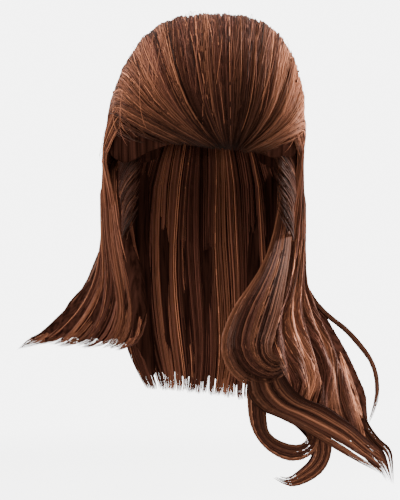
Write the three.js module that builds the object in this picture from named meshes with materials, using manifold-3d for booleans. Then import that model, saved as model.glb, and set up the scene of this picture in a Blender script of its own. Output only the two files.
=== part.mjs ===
// A hair topper, in millimetres: a thin base that sits on the top of the head, clips under its
// rim, a high swept-back crown of hair, two temple sweeps, three long falls and their curled ends.
// +X is the wearer's left, +Y the back of the head and +Z up. The origin is the point where the
// top of the head meets the base.
import * as THREE from "three";
import { mergeVertices } from "three/addons/utils/BufferGeometryUtils.js";
import Module from "manifold-3d";

const wasm = await Module();
wasm.setup();

// The head that the base is shaped to
const HEAD_BREADTH = 150;
const HEAD_LENGTH = 188;
const CROWN_RISE = 105; // the top of the head above the level where it is widest

// The base and its clips
const BASE_WALL = 1.6;
const BASE_DEPTH = 46; // the rim below the top of the head
const CLIP_LENGTH = 30;
const CLIP_WIDTH = 10;
const CLIP_THICK = 1.4; // at the clip's ends, where it is thinnest
const CLIP_RISE = 11; // the middle of a clip above the rim

// The gap between any two pieces that rest on each other
const SEAT_GAP = 0.3;

// The swept-back crown
const POUF_HEIGHT = 75; // above the top of the head
const POUF_HALF_WIDTH = 95;
const POUF_FRONT = 96; // reach in front of the origin
const POUF_BACK = 104; // reach behind the origin
const POUF_EDGE = 52; // the lower edge over the brow, below the top of the head
const POUF_SIDE_DROP = 20; // how much lower that edge hangs over the ears
const POUF_EDGE_SINK = 2; // the lower edge rises this much for each step inwards
const POUF_SQUARENESS = 3; // 2 is a round arch from side to side
const POUF_LENGTH_KEPT = 0.6; // below 1 the sides keep more of the length, front to back
const POUF_OFFSET = -6; // the lower edge stands this far to the wearer's right
const POUF_LEAN = 12; // and the top leans back to the wearer's left by this much
const POUF_END = 0.95; // the inner mass ends at this share of the way to the side
const POUF_LOCKS = 12;
const POUF_LOCK_WIDTH = 21;
const POUF_LOCK_THICK = 9;
const POUF_LOCK_PROUD = 2.6;
const POUF_LOCK_SPREAD = 0.9; // the outermost locks' share of the way to the side
const POUF_LOCK_STEPS = 9;
const POUF_LOCK_START = 0.02; // a lock's shares of the way from the hairline to the nape
const POUF_LOCK_END = 0.97;
const POUF_LOCK_ROOT = 0.22; // its fullness there, as shares of a half turn of a sine
const POUF_LOCK_TIP = 0.8;
const POUF_PARTING = 0.32; // the locks lean towards this share of the half width at the hairline
const POUF_GATHER = 0.35; // and close up by this share there

// The hair drawn back over the temples
const SWEEP_THICK = 10;
const SWEEP_HEIGHT = 64;
const SWEEP_LOCKS = 4;

// The falls
const ROOT_DEPTH = 42; // the start of the falls inside the crown, below the top of the head
const RIGHT_DROP = 246; // the ends of the right fall, below the top of the head
const RIGHT_FLARE = 92; // how far those ends flip out past the crown's side
const RIGHT_LOCKS = 6;
const LEFT_DROP = 345;
const LEFT_FLARE = 53;
const LEFT_LOCKS = 7;
const BACK_DROP = 300;
const BACK_LOCKS = 8;
const BACK_BULGE = 26;
const SIDE_BULGE = 5;
const FALL_INSET = 3; // the falls hang this far inside the crown's sides
const FALL_HALF_WIDTH = POUF_HALF_WIDTH - FALL_INSET;
const FALL_THICK = 30;
const LOCK_OVERLAP = 1.5; // the width of a lock in a fall, as a share of the spacing
const CURL_THICK = 17;

// Faces
const HEAD_SIDES = 26;
const HEAD_RINGS = 20;
const LOCK_SIDES = 6;
const CORNER_GROWTH = 1.8; // how far a form's corners move out for its flats to clear the gap
const CURL_STEPS = 2; // rings of a curl from one row of its table to the next
const CROWN_SIDES = 16;
const CROWN_STEPS = 11;
const CLIP_END_SIDES = 6;
const SAME_PLACE = 1e-4; // corners closer than this are one

// The crown's outline from the hairline over the top to the nape, seen from the side. Each row:
// aft, the share of the front or back reach; up, the share of the rise from the lower edge to
// the top; out, the share of the half width
const CROWN_PROFILE = [
  { aft: -0.84, up: 0.0, out: 0.74 },
  { aft: -0.97, up: 0.14, out: 0.87 },
  { aft: -1.0, up: 0.34, out: 0.97 },
  { aft: -0.94, up: 0.58, out: 1.0 },
  { aft: -0.76, up: 0.8, out: 1.0 },
  { aft: -0.43, up: 0.95, out: 1.0 },
  { aft: 0.0, up: 1.0, out: 1.0 },
  { aft: 0.42, up: 0.93, out: 1.0 },
  { aft: 0.76, up: 0.74, out: 0.99 },
  { aft: 0.95, up: 0.47, out: 0.97 },
  { aft: 1.0, up: 0.18, out: 0.93 },
  { aft: 0.93, up: -0.06, out: 0.87 },
  { aft: 0.8, up: -0.08, out: 0.82 },
];

// The falls. Each row is a level, with the middles of the front and back locks: down is the share
// of the way from the root to the ends, out the share of the falls' half width and aft the share of
// the head's length behind the origin. The back lock moves out by a share of the flare. Thick and
// taper are shares of a lock's full thickness and width.
const RIGHT_FALL = [
  { front: { down: 0, out: 0.78, aft: 0.1 }, back: { down: 0, out: 0.66, aft: 0.3 },
    flare: 0, thick: 0.5, taper: 1 },
  { front: { down: 0.18, out: 0.92, aft: 0.05 }, back: { down: 0.2, out: 0.93, aft: 0.33 },
    flare: 0, thick: 0.75, taper: 1 },
  { front: { down: 0.46, out: 0.86, aft: 0 }, back: { down: 0.46, out: 0.98, aft: 0.32 },
    flare: 0, thick: 0.85, taper: 1 },
  { front: { down: 0.67, out: 0.75, aft: -0.07 }, back: { down: 0.66, out: 1, aft: 0.27 },
    flare: 0.1, thick: 0.85, taper: 1 },
  { front: { down: 0.83, out: 0.7, aft: -0.13 }, back: { down: 0.81, out: 1, aft: 0.19 },
    flare: 0.35, thick: 0.8, taper: 1 },
  { front: { down: 0.95, out: 0.77, aft: -0.14 }, back: { down: 0.92, out: 1, aft: 0.12 },
    flare: 0.66, thick: 0.55, taper: 0.75 },
  { front: { down: 1, out: 0.94, aft: -0.11 }, back: { down: 0.97, out: 1, aft: 0.07 },
    flare: 0.88, thick: 0.14, taper: 0.16 },
];
const LEFT_FALL = [
  { front: { down: 0, out: 0.74, aft: 0.1 }, back: { down: 0, out: 0.6, aft: 0.3 },
    flare: 0, thick: 0.5, taper: 1 },
  { front: { down: 0.13, out: 0.82, aft: 0.05 }, back: { down: 0.14, out: 0.84, aft: 0.32 },
    flare: 0, thick: 0.7, taper: 1 },
  { front: { down: 0.32, out: 0.77, aft: -0.03 }, back: { down: 0.32, out: 0.9, aft: 0.27 },
    flare: 0, thick: 0.8, taper: 1 },
  { front: { down: 0.46, out: 0.64, aft: -0.16 }, back: { down: 0.46, out: 0.92, aft: 0.16 },
    flare: 0, thick: 0.9, taper: 1 },
  { front: { down: 0.57, out: 0.5, aft: -0.29 }, back: { down: 0.58, out: 1, aft: 0.03 },
    flare: 0.2, thick: 1, taper: 1 },
  { front: { down: 0.67, out: 0.5, aft: -0.37 }, back: { down: 0.7, out: 1, aft: -0.11 },
    flare: 0.56, thick: 1.1, taper: 1 },
  { front: { down: 0.76, out: 0.54, aft: -0.41 }, back: { down: 0.82, out: 1, aft: -0.21 },
    flare: 0.88, thick: 1.05, taper: 1 },
  { front: { down: 0.83, out: 0.6, aft: -0.43 }, back: { down: 0.93, out: 1, aft: -0.28 },
    flare: 1, thick: 0.75, taper: 0.8 },
  { front: { down: 0.88, out: 0.7, aft: -0.44 }, back: { down: 1, out: 1, aft: -0.32 },
    flare: 0.92, thick: 0.15, taper: 0.2 },
];
// The back fall's front lock is its right one
const BACK_FALL = [
  { front: { down: 0, out: -0.56, aft: 0.3 }, back: { down: 0, out: 0.56, aft: 0.3 },
    flare: 0, thick: 0.5, taper: 1 },
  { front: { down: 0.16, out: -0.72, aft: 0.36 }, back: { down: 0.16, out: 0.72, aft: 0.36 },
    flare: 0, thick: 0.75, taper: 1 },
  { front: { down: 0.38, out: -0.76, aft: 0.37 }, back: { down: 0.38, out: 0.76, aft: 0.36 },
    flare: 0, thick: 0.8, taper: 1 },
  { front: { down: 0.6, out: -0.74, aft: 0.35 }, back: { down: 0.6, out: 0.76, aft: 0.33 },
    flare: 0, thick: 0.8, taper: 1 },
  { front: { down: 0.78, out: -0.7, aft: 0.33 }, back: { down: 0.82, out: 0.74, aft: 0.3 },
    flare: 0, thick: 0.7, taper: 1 },
  { front: { down: 0.9, out: -0.62, aft: 0.32 }, back: { down: 0.96, out: 0.68, aft: 0.28 },
    flare: 0, thick: 0.45, taper: 0.7 },
  { front: { down: 0.95, out: -0.56, aft: 0.33 }, back: { down: 1, out: 0.62, aft: 0.29 },
    flare: 0, thick: 0.12, taper: 0.15 },
];

// The temple sweeps, from the hairline to the falls. Down is the share of the sweep's height below
// the crown's lower edge for its top and bottom locks, and out the share of half the head's breadth
const TEMPLE_SWEEP = [
  { topDown: 0.0, bottomDown: 1.0, topOut: 0.84, bottomOut: 0.9, aft: -0.25, thick: 0.35, taper: 0.8 },
  { topDown: -0.02, bottomDown: 0.95, topOut: 0.98, bottomOut: 1.02, aft: -0.15, thick: 0.8, taper: 1 },
  { topDown: -0.06, bottomDown: 0.85, topOut: 1.06, bottomOut: 1.06, aft: -0.05, thick: 1, taper: 1 },
  { topDown: -0.1, bottomDown: 0.7, topOut: 1.1, bottomOut: 1.08, aft: 0.06, thick: 1, taper: 0.9 },
];

// The curled ends, as bands between two edges. Out is the share of the falls' half width, down the
// share of the way from the root to the fall's ends, aft the share of the head's length and thick
// the share of a curl's full thickness
const INNER_CURL = [
  { nearOut: 0.78, nearDown: 0.16, farOut: 0.9, farDown: 0.16, aft: 0.02, thick: 0.3 },
  { nearOut: 0.72, nearDown: 0.27, farOut: 0.86, farDown: 0.27, aft: -0.07, thick: 0.45 },
  { nearOut: 0.63, nearDown: 0.37, farOut: 0.82, farDown: 0.38, aft: -0.17, thick: 0.6 },
  { nearOut: 0.49, nearDown: 0.455, farOut: 0.76, farDown: 0.47, aft: -0.27, thick: 0.8 },
  { nearOut: 0.33, nearDown: 0.525, farOut: 0.7, farDown: 0.55, aft: -0.34, thick: 1 },
  { nearOut: 0.22, nearDown: 0.6, farOut: 0.64, farDown: 0.615, aft: -0.39, thick: 1 },
  { nearOut: 0.19, nearDown: 0.665, farOut: 0.61, farDown: 0.655, aft: -0.43, thick: 1 },
  { nearOut: 0.26, nearDown: 0.725, farOut: 0.64, farDown: 0.685, aft: -0.46, thick: 0.9 },
  { nearOut: 0.41, nearDown: 0.765, farOut: 0.7, farDown: 0.695, aft: -0.49, thick: 0.8 },
  { nearOut: 0.62, nearDown: 0.775, farOut: 0.75, farDown: 0.695, aft: -0.51, thick: 0.6 },
  { nearOut: 0.83, nearDown: 0.725, farOut: 0.81, farDown: 0.69, aft: -0.52, thick: 0.15 },
];
const LOOP_CURL = [
  { nearOut: 0.42, nearDown: 0.75, farOut: 0.62, farDown: 0.775, aft: -0.46, thick: 0.7 },
  { nearOut: 0.42, nearDown: 0.82, farOut: 0.57, farDown: 0.835, aft: -0.48, thick: 0.7 },
  { nearOut: 0.44, nearDown: 0.885, farOut: 0.58, farDown: 0.89, aft: -0.49, thick: 0.65 },
  { nearOut: 0.51, nearDown: 0.935, farOut: 0.61, farDown: 0.92, aft: -0.49, thick: 0.6 },
  { nearOut: 0.64, nearDown: 0.975, farOut: 0.7, farDown: 0.945, aft: -0.49, thick: 0.55 },
  { nearOut: 0.83, nearDown: 1, farOut: 0.85, farDown: 0.96, aft: -0.48, thick: 0.5 },
  { nearOut: 1.01, nearDown: 0.99, farOut: 0.96, farDown: 0.955, aft: -0.47, thick: 0.45 },
  { nearOut: 1.12, nearDown: 0.95, farOut: 1.01, farDown: 0.935, aft: -0.45, thick: 0.35 },
  { nearOut: 1.09, nearDown: 0.91, farOut: 1, farDown: 0.91, aft: -0.44, thick: 0.12 },
];
const TAIL_CURL = [
  { nearOut: 0.8, nearDown: 0.79, farOut: 0.66, farDown: 0.835, aft: -0.42, thick: 0.5 },
  { nearOut: 1.07, nearDown: 0.85, farOut: 0.89, farDown: 0.89, aft: -0.41, thick: 0.7 },
  { nearOut: 1.22, nearDown: 0.915, farOut: 1.03, farDown: 0.935, aft: -0.41, thick: 0.7 },
  { nearOut: 1.24, nearDown: 0.98, farOut: 1.08, farDown: 0.98, aft: -0.42, thick: 0.6 },
  { nearOut: 1.16, nearDown: 1.035, farOut: 1.04, farDown: 1.01, aft: -0.43, thick: 0.55 },
  { nearOut: 1, nearDown: 1.07, farOut: 0.94, farDown: 1.035, aft: -0.45, thick: 0.45 },
  { nearOut: 0.83, nearDown: 1.085, farOut: 0.81, farDown: 1.06, aft: -0.46, thick: 0.3 },
  { nearOut: 0.66, nearDown: 1.06, farOut: 0.68, farDown: 1.05, aft: -0.47, thick: 0.1 },
];
const OUTER_CURL = [
  { nearOut: 1.49, nearDown: 0.81, farOut: 1.31, farDown: 0.845, aft: -0.25, thick: 0.5 },
  { nearOut: 1.61, nearDown: 0.89, farOut: 1.43, farDown: 0.915, aft: -0.27, thick: 0.5 },
  { nearOut: 1.73, nearDown: 0.945, farOut: 1.55, farDown: 0.97, aft: -0.29, thick: 0.45 },
  { nearOut: 1.84, nearDown: 0.98, farOut: 1.67, farDown: 1.015, aft: -0.31, thick: 0.35 },
  { nearOut: 1.88, nearDown: 1.02, farOut: 1.76, farDown: 1.045, aft: -0.32, thick: 0.25 },
  { nearOut: 1.9, nearDown: 1.085, farOut: 1.86, farDown: 1.085, aft: -0.33, thick: 0.1 },
];
const LOOSE_LOCK = [
  { nearOut: 0.98, nearDown: 0.44, farOut: 0.94, farDown: 0.455, aft: 0.08, thick: 0.25 },
  { nearOut: 1.14, nearDown: 0.515, farOut: 1.09, farDown: 0.525, aft: 0.04, thick: 0.25 },
  { nearOut: 1.28, nearDown: 0.56, farOut: 1.24, farDown: 0.572, aft: 0.01, thick: 0.25 },
  { nearOut: 1.45, nearDown: 0.6, farOut: 1.41, farDown: 0.612, aft: -0.02, thick: 0.25 },
  { nearOut: 1.6, nearDown: 0.65, farOut: 1.555, farDown: 0.66, aft: -0.05, thick: 0.25 },
  { nearOut: 1.71, nearDown: 0.7, farOut: 1.665, farDown: 0.707, aft: -0.08, thick: 0.25 },
  { nearOut: 1.77, nearDown: 0.755, farOut: 1.72, farDown: 0.76, aft: -0.11, thick: 0.25 },
  { nearOut: 1.77, nearDown: 0.82, farOut: 1.72, farDown: 0.818, aft: -0.14, thick: 0.25 },
  { nearOut: 1.71, nearDown: 0.875, farOut: 1.67, farDown: 0.872, aft: -0.18, thick: 0.2 },
  { nearOut: 1.64, nearDown: 0.915, farOut: 1.625, farDown: 0.912, aft: -0.21, thick: 0.1 },
];
const RIGHT_FLICK = [
  { nearOut: 1.02, nearDown: 0.42, farOut: 0.94, farDown: 0.45, aft: 0.3, thick: 0.3 },
  { nearOut: 1.15, nearDown: 0.55, farOut: 1.05, farDown: 0.585, aft: 0.28, thick: 0.45 },
  { nearOut: 1.29, nearDown: 0.7, farOut: 1.19, farDown: 0.74, aft: 0.25, thick: 0.55 },
  { nearOut: 1.43, nearDown: 0.775, farOut: 1.3, farDown: 0.82, aft: 0.22, thick: 0.55 },
  { nearOut: 1.56, nearDown: 0.87, farOut: 1.44, farDown: 0.9, aft: 0.19, thick: 0.5 },
  { nearOut: 1.71, nearDown: 0.92, farOut: 1.59, farDown: 0.955, aft: 0.15, thick: 0.4 },
  { nearOut: 1.88, nearDown: 0.955, farOut: 1.78, farDown: 0.975, aft: 0.11, thick: 0.25 },
  { nearOut: 2, nearDown: 1, farOut: 1.99, farDown: 1.005, aft: 0.08, thick: 0.1 },
];

const { lerp } = THREE.MathUtils;

// A closed solid from a mesh geometry
function solid(geometry) {
  const bare = geometry.clone();
  bare.deleteAttribute("normal");
  bare.deleteAttribute("uv");
  const merged = mergeVertices(bare, SAME_PLACE);
  return new wasm.Manifold(
    new wasm.Mesh({
      numProp: 3,
      vertProperties: new Float32Array(merged.attributes.position.array),
      triVerts: new Uint32Array(merged.index.array),
    }),
  );
}

// The largest body of a solid: a cut can leave crumbs beside it
function mainBody(form) {
  return form.decompose().reduce((best, body) => (body.volume() > best.volume() ? body : best));
}

// A named mesh from a solid
function meshOf(name, form, material) {
  const made = mainBody(form).getMesh();
  const geometry = new THREE.BufferGeometry();
  geometry.setAttribute("position", new THREE.BufferAttribute(made.vertProperties, 3));
  geometry.setIndex(new THREE.BufferAttribute(made.triVerts, 1));
  geometry.computeVertexNormals();
  const mesh = new THREE.Mesh(geometry, material);
  mesh.name = name;
  return mesh;
}

// The skin through a row of rings, closed at both ends. Each ring runs counter-clockwise about
// the way from the first ring to the last
function skin(rings) {
  const sides = rings[0].length;
  const points = rings.flat();
  const ends = [rings[0], rings[rings.length - 1]].map((ring) =>
    ring.reduce((sum, p) => sum.add(p), new THREE.Vector3()).divideScalar(sides),
  );
  const start = points.length;
  points.push(...ends);
  const faces = [];
  for (let i = 0; i + 1 < rings.length; i++) {
    for (let j = 0; j < sides; j++) {
      const a = i * sides + j;
      const b = i * sides + ((j + 1) % sides);
      faces.push(a, b, b + sides, a, b + sides, a + sides);
    }
  }
  const last = (rings.length - 1) * sides;
  for (let j = 0; j < sides; j++) {
    const next = (j + 1) % sides;
    faces.push(start, next, j, start + 1, last + j, last + next);
  }
  return new THREE.BufferGeometry().setFromPoints(points).setIndex(faces);
}

// A lock of hair through stations that hold its middle, the vector half way across it and its half
// thickness, grown all round by grow, with so many steps from one station to the next
function lock(stations, grow, steps) {
  const spine = new THREE.CatmullRomCurve3(stations.map((s) => s.at));
  const halves = new THREE.CatmullRomCurve3(stations.map((s) => s.half));
  const depths = new THREE.CatmullRomCurve3(
    stations.map((s) => new THREE.Vector3(s.deep, 0, 0)),
  );
  const last = (stations.length - 1) * steps;
  const corner = CORNER_GROWTH * grow;
  const rings = [];
  for (let i = 0; i <= last; i++) {
    const t = i / last;
    const ahead = spine.getTangent(t);
    const half = halves.getPoint(t);
    const wide = half.length() + corner;
    const deep = depths.getPoint(t).x + corner;
    const side = half.addScaledVector(ahead, -half.dot(ahead)).normalize();
    const up = ahead.clone().cross(side);
    const reach = i === 0 ? -grow : i === last ? grow : 0;
    const middle = spine.getPoint(t).addScaledVector(ahead, reach);
    rings.push(
      Array.from({ length: LOCK_SIDES }, (_, j) => {
        const turn = (2 * Math.PI * j) / LOCK_SIDES;
        return middle
          .clone()
          .addScaledVector(side, Math.cos(turn) * wide)
          .addScaledVector(up, Math.sin(turn) * deep);
      }),
    );
  }
  return solid(skin(rings));
}

const fused = (forms) => forms.reduce((all, form) => all.add(form));

// The head, larger all round by grow
function headForm(grow) {
  const geometry = new THREE.SphereGeometry(1, HEAD_SIDES, HEAD_RINGS);
  geometry.rotateX(Math.PI / 2);
  geometry.scale(HEAD_BREADTH / 2 + grow, HEAD_LENGTH / 2 + grow, CROWN_RISE + grow);
  geometry.translate(0, 0, -CROWN_RISE);
  return solid(geometry);
}

// A block of space below a level, wider and deeper than the head
function below(level) {
  const size = 2 * HEAD_LENGTH;
  return solid(new THREE.BoxGeometry(size, size, size).translate(0, 0, level - size / 2));
}

function baseForm(grow) {
  return headForm(BASE_WALL + grow).subtract(below(-BASE_DEPTH - grow));
}

function baseCap() {
  return baseForm(0).subtract(headForm(0));
}

// The frame of a clip on the head: the point of the surface below the middle of the clip, the
// outward normal and the direction along the rim. Side is the direction from the middle of the head
function clipSeat(side) {
  const level = (CROWN_RISE - BASE_DEPTH + CLIP_RISE) / CROWN_RISE;
  const radius = Math.sqrt(1 - level * level);
  const half = new THREE.Vector3(HEAD_BREADTH / 2, HEAD_LENGTH / 2, CROWN_RISE);
  const point = new THREE.Vector3(side.x * radius, side.y * radius, level).multiply(half);
  const normal = point.clone().divide(half).divide(half).normalize();
  const along = new THREE.Vector3(0, 0, 1).cross(side);
  const drop = surfaceDrop(point.clone().addScaledVector(along, CLIP_LENGTH / 2), normal, half);
  point.z -= CROWN_RISE;
  return { point, normal, along, drop };
}

// How far below a point outside the head its surface lies, along the normal
function surfaceDrop(point, normal, half) {
  const p = point.clone().divide(half);
  const n = normal.clone().divide(half);
  const a = n.dot(n);
  const b = p.dot(n);
  const c = p.dot(p) - 1;
  return (b - Math.sqrt(b * b - a * c)) / a;
}

// A pressure clip: one plain piece, curved to the base outside and flat towards the head
function clip(side) {
  const { point, normal, along, drop } = clipSeat(side);
  const straight = CLIP_LENGTH / 2 - CLIP_WIDTH / 2;
  const outline = new THREE.Shape();
  outline.absarc(straight, 0, CLIP_WIDTH / 2, -Math.PI / 2, Math.PI / 2);
  outline.absarc(-straight, 0, CLIP_WIDTH / 2, Math.PI / 2, (3 * Math.PI) / 2);
  const depth = drop + SEAT_GAP + CLIP_THICK;
  const block = new THREE.ExtrudeGeometry(outline, {
    depth: 2 * depth,
    bevelEnabled: false,
    curveSegments: CLIP_END_SIDES,
  });
  const turn = new THREE.Matrix4().makeBasis(along, normal.clone().cross(along), normal);
  turn.setPosition(point.clone().addScaledVector(normal, -depth));
  return solid(block.applyMatrix4(turn)).intersect(headForm(-SEAT_GAP));
}

// A place on the crown's outer surface: turn runs from the hairline (0) over the top to the nape
// (1), and side from -1 to 1 across the head; sink is the depth under the surface. The lower edge
// drops with the cube of the way to the side, so that it hangs only over the ears
const crownProfile = new THREE.CatmullRomCurve3(
  CROWN_PROFILE.map((row) => new THREE.Vector3(row.out, row.aft, row.up)),
);
function crownPoint(turn, side, sink = 0) {
  const { x: out, y: aft, z: up } = crownProfile.getPoint(turn);
  const angle = (Math.abs(side) ** (POUF_SQUARENESS / 2) * Math.PI) / 2;
  const power = 2 / POUF_SQUARENESS;
  const across = Math.sign(side) * Math.sin(angle) ** power;
  const arch = Math.cos(angle) ** power;
  const length = Math.cos(angle) ** POUF_LENGTH_KEPT;
  const reach = (aft < 0 ? POUF_FRONT : POUF_BACK) - sink;
  const lowest = -POUF_EDGE + POUF_EDGE_SINK * sink - POUF_SIDE_DROP * Math.abs(across) ** 3;
  const rise = POUF_HEIGHT + POUF_EDGE - (POUF_EDGE_SINK + 1) * sink;
  const height = up * arch;
  return new THREE.Vector3(
    across * out * (POUF_HALF_WIDTH - sink) + POUF_OFFSET + POUF_LEAN * height,
    aft * reach * length,
    lowest + height * rise,
  );
}

// The crown's plain inner mass
function crownCore(sink) {
  const rings = [];
  for (let i = 0; i <= CROWN_STEPS; i++) {
    const side = lerp(POUF_END, -POUF_END, i / CROWN_STEPS);
    rings.push(
      Array.from({ length: CROWN_SIDES }, (_, j) =>
        crownPoint(j / (CROWN_SIDES - 1), side, sink),
      ),
    );
  }
  return solid(skin(rings));
}

// One of the locks that lie side by side over the crown. It is fullest over the top and leans
// towards the parting near its root
function crownLock(share, grow) {
  const stations = [];
  const rest = lerp(-POUF_LOCK_SPREAD, POUF_LOCK_SPREAD, share);
  for (let i = 0; i <= POUF_LOCK_STEPS; i++) {
    const turn = lerp(POUF_LOCK_START, POUF_LOCK_END, i / POUF_LOCK_STEPS);
    const pull = POUF_GATHER * (1 - turn) ** 2;
    const side = lerp(rest, POUF_PARTING, pull);
    const size = Math.sin(Math.PI * lerp(POUF_LOCK_ROOT, POUF_LOCK_TIP, turn));
    stations.push({
      at: crownPoint(turn, side, POUF_LOCK_THICK / 2 - POUF_LOCK_PROUD),
      half: new THREE.Vector3((POUF_LOCK_WIDTH / 2) * size, 0, 0),
      deep: (POUF_LOCK_THICK / 2) * size,
    });
  }
  return lock(stations, grow, 1);
}

function crownForm(grow) {
  const shares = Array.from({ length: POUF_LOCKS }, (_, i) => i / (POUF_LOCKS - 1));
  const locks = shares.map((share) => crownLock(share, grow));
  return fused([crownCore(-CORNER_GROWTH * grow), ...locks]);
}

// A place beside a side's fall, from shares of the falls' half width, the way down and the head
function beside(fall, { out, down, aft }) {
  return new THREE.Vector3(
    fall.side * out * FALL_HALF_WIDTH,
    aft * HEAD_LENGTH,
    -lerp(ROOT_DEPTH, fall.drop, down),
  );
}

// One lock of a fall, at a share of the way from its front edge to its back edge
function fallLock(rows, share, fall, grow) {
  const bulge = Math.sin(Math.PI * share);
  const { front, back } = rows[0];
  const across = beside(fall, { ...back, down: 0 })
    .sub(beside(fall, { ...front, down: 0 }))
    .normalize();
  const stations = rows.map((row) => {
    const first = beside(fall, row.front);
    const last = beside(fall, row.back);
    last.x += fall.side * fall.flare * row.flare;
    const spacing = first.distanceTo(last) / (fall.locks - 1);
    return {
      at: first.lerp(last, share).addScaledVector(fall.outward, bulge * fall.bulge),
      half: across.clone().multiplyScalar((spacing / 2) * LOCK_OVERLAP * row.taper),
      deep: (FALL_THICK / 2) * row.thick,
    };
  });
  return lock(stations, grow, 1);
}

function fallForm(rows, fall, grow) {
  const shares = Array.from({ length: fall.locks }, (_, i) => i / (fall.locks - 1));
  return fused(shares.map((share) => fallLock(rows, share, fall, grow)));
}

const RIGHT = {
  side: -1,
  drop: RIGHT_DROP,
  flare: RIGHT_FLARE,
  locks: RIGHT_LOCKS,
  bulge: SIDE_BULGE,
  outward: new THREE.Vector3(-1, 0, 0),
};
const LEFT = {
  side: 1,
  drop: LEFT_DROP,
  flare: LEFT_FLARE,
  locks: LEFT_LOCKS,
  bulge: SIDE_BULGE,
  outward: new THREE.Vector3(1, 0, 0),
};
const BACK = {
  side: 1,
  drop: BACK_DROP,
  flare: 0,
  locks: BACK_LOCKS,
  bulge: BACK_BULGE,
  outward: new THREE.Vector3(0, 1, 0),
};

// A temple sweep: locks laid back over the side of the head
function sweepForm(side, grow) {
  const spacing = SWEEP_HEIGHT / (SWEEP_LOCKS - 1);
  const locks = Array.from({ length: SWEEP_LOCKS }, (_, i) => {
    const share = i / (SWEEP_LOCKS - 1);
    const stations = TEMPLE_SWEEP.map((row) => ({
      at: new THREE.Vector3(
        (side * lerp(row.topOut, row.bottomOut, share) * HEAD_BREADTH) / 2,
        row.aft * HEAD_LENGTH,
        -POUF_EDGE - SWEEP_HEIGHT * lerp(row.topDown, row.bottomDown, share),
      ),
      half: new THREE.Vector3(0, 0, (spacing / 2) * LOCK_OVERLAP * row.taper),
      deep: (SWEEP_THICK / 2) * row.thick,
    }));
    return lock(stations, grow, 1);
  });
  return fused(locks);
}

// A curled end that lies in front of its fall
function curlForm(rows, fall, grow) {
  const stations = rows.map((row) => {
    const near = beside(fall, { out: row.nearOut, down: row.nearDown, aft: row.aft });
    const far = beside(fall, { out: row.farOut, down: row.farDown, aft: row.aft });
    return {
      at: near.clone().lerp(far, 0.5),
      half: far.sub(near).multiplyScalar(0.5),
      deep: (CURL_THICK / 2) * row.thick,
    };
  });
  return lock(stations, grow, CURL_STEPS);
}

// A form cut clear of its neighbours
function trimmed(form, ...neighbours) {
  return neighbours.reduce((left, neighbour) => left.subtract(neighbour), form);
}

const hair = new THREE.MeshStandardMaterial({ color: 0x5c3726, roughness: 0.55, metalness: 0 });
const net = new THREE.MeshStandardMaterial({ color: 0x2a1a14, roughness: 0.9, metalness: 0 });
const enamel = new THREE.MeshStandardMaterial({ color: 0x241814, roughness: 0.4, metalness: 0.6 });

const group = new THREE.Group();

function addBase() {
  group.add(meshOf("base_cap", baseCap(), net));
  const sides = {
    clip_front: new THREE.Vector3(0, -1, 0),
    clip_back: new THREE.Vector3(0, 1, 0),
    clip_left: new THREE.Vector3(1, 0, 0),
    clip_right: new THREE.Vector3(-1, 0, 0),
  };
  for (const [name, side] of Object.entries(sides)) group.add(meshOf(name, clip(side), enamel));
}

function addHair() {
  const base = baseForm(SEAT_GAP);
  const head = headForm(SEAT_GAP);
  const crown = crownForm(SEAT_GAP);
  group.add(meshOf("crown_pouf", trimmed(crownForm(0), base, head), hair));

  const right = fallForm(RIGHT_FALL, RIGHT, SEAT_GAP);
  const left = fallForm(LEFT_FALL, LEFT, SEAT_GAP);
  group.add(meshOf("fall_right", trimmed(fallForm(RIGHT_FALL, RIGHT, 0), crown, head), hair));
  group.add(meshOf("fall_left", trimmed(fallForm(LEFT_FALL, LEFT, 0), crown, head), hair));
  const back = fallForm(BACK_FALL, BACK, 0);
  group.add(meshOf("fall_back", trimmed(back, crown, head, right, left), hair));

  const sweepRight = trimmed(sweepForm(-1, 0), crown, head, right);
  const sweepLeft = trimmed(sweepForm(1, 0), crown, head, left);
  group.add(meshOf("temple_sweep_right", sweepRight, hair));
  group.add(meshOf("temple_sweep_left", sweepLeft, hair));

  const curls = [
    ["curl_inner", INNER_CURL, LEFT],
    ["curl_loop", LOOP_CURL, LEFT],
    ["curl_tail", TAIL_CURL, LEFT],
    ["curl_outer", OUTER_CURL, LEFT],
    ["loose_lock", LOOSE_LOCK, LEFT],
    ["flick_right", RIGHT_FLICK, RIGHT],
  ];
  let taken = fused([left, right, sweepForm(1, SEAT_GAP)]);
  for (const [name, rows, fall] of curls) {
    group.add(meshOf(name, trimmed(curlForm(rows, fall, 0), taken), hair));
    taken = taken.add(curlForm(rows, fall, SEAT_GAP));
  }
}

addBase();
addHair();

export default group;
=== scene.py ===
import math

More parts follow.
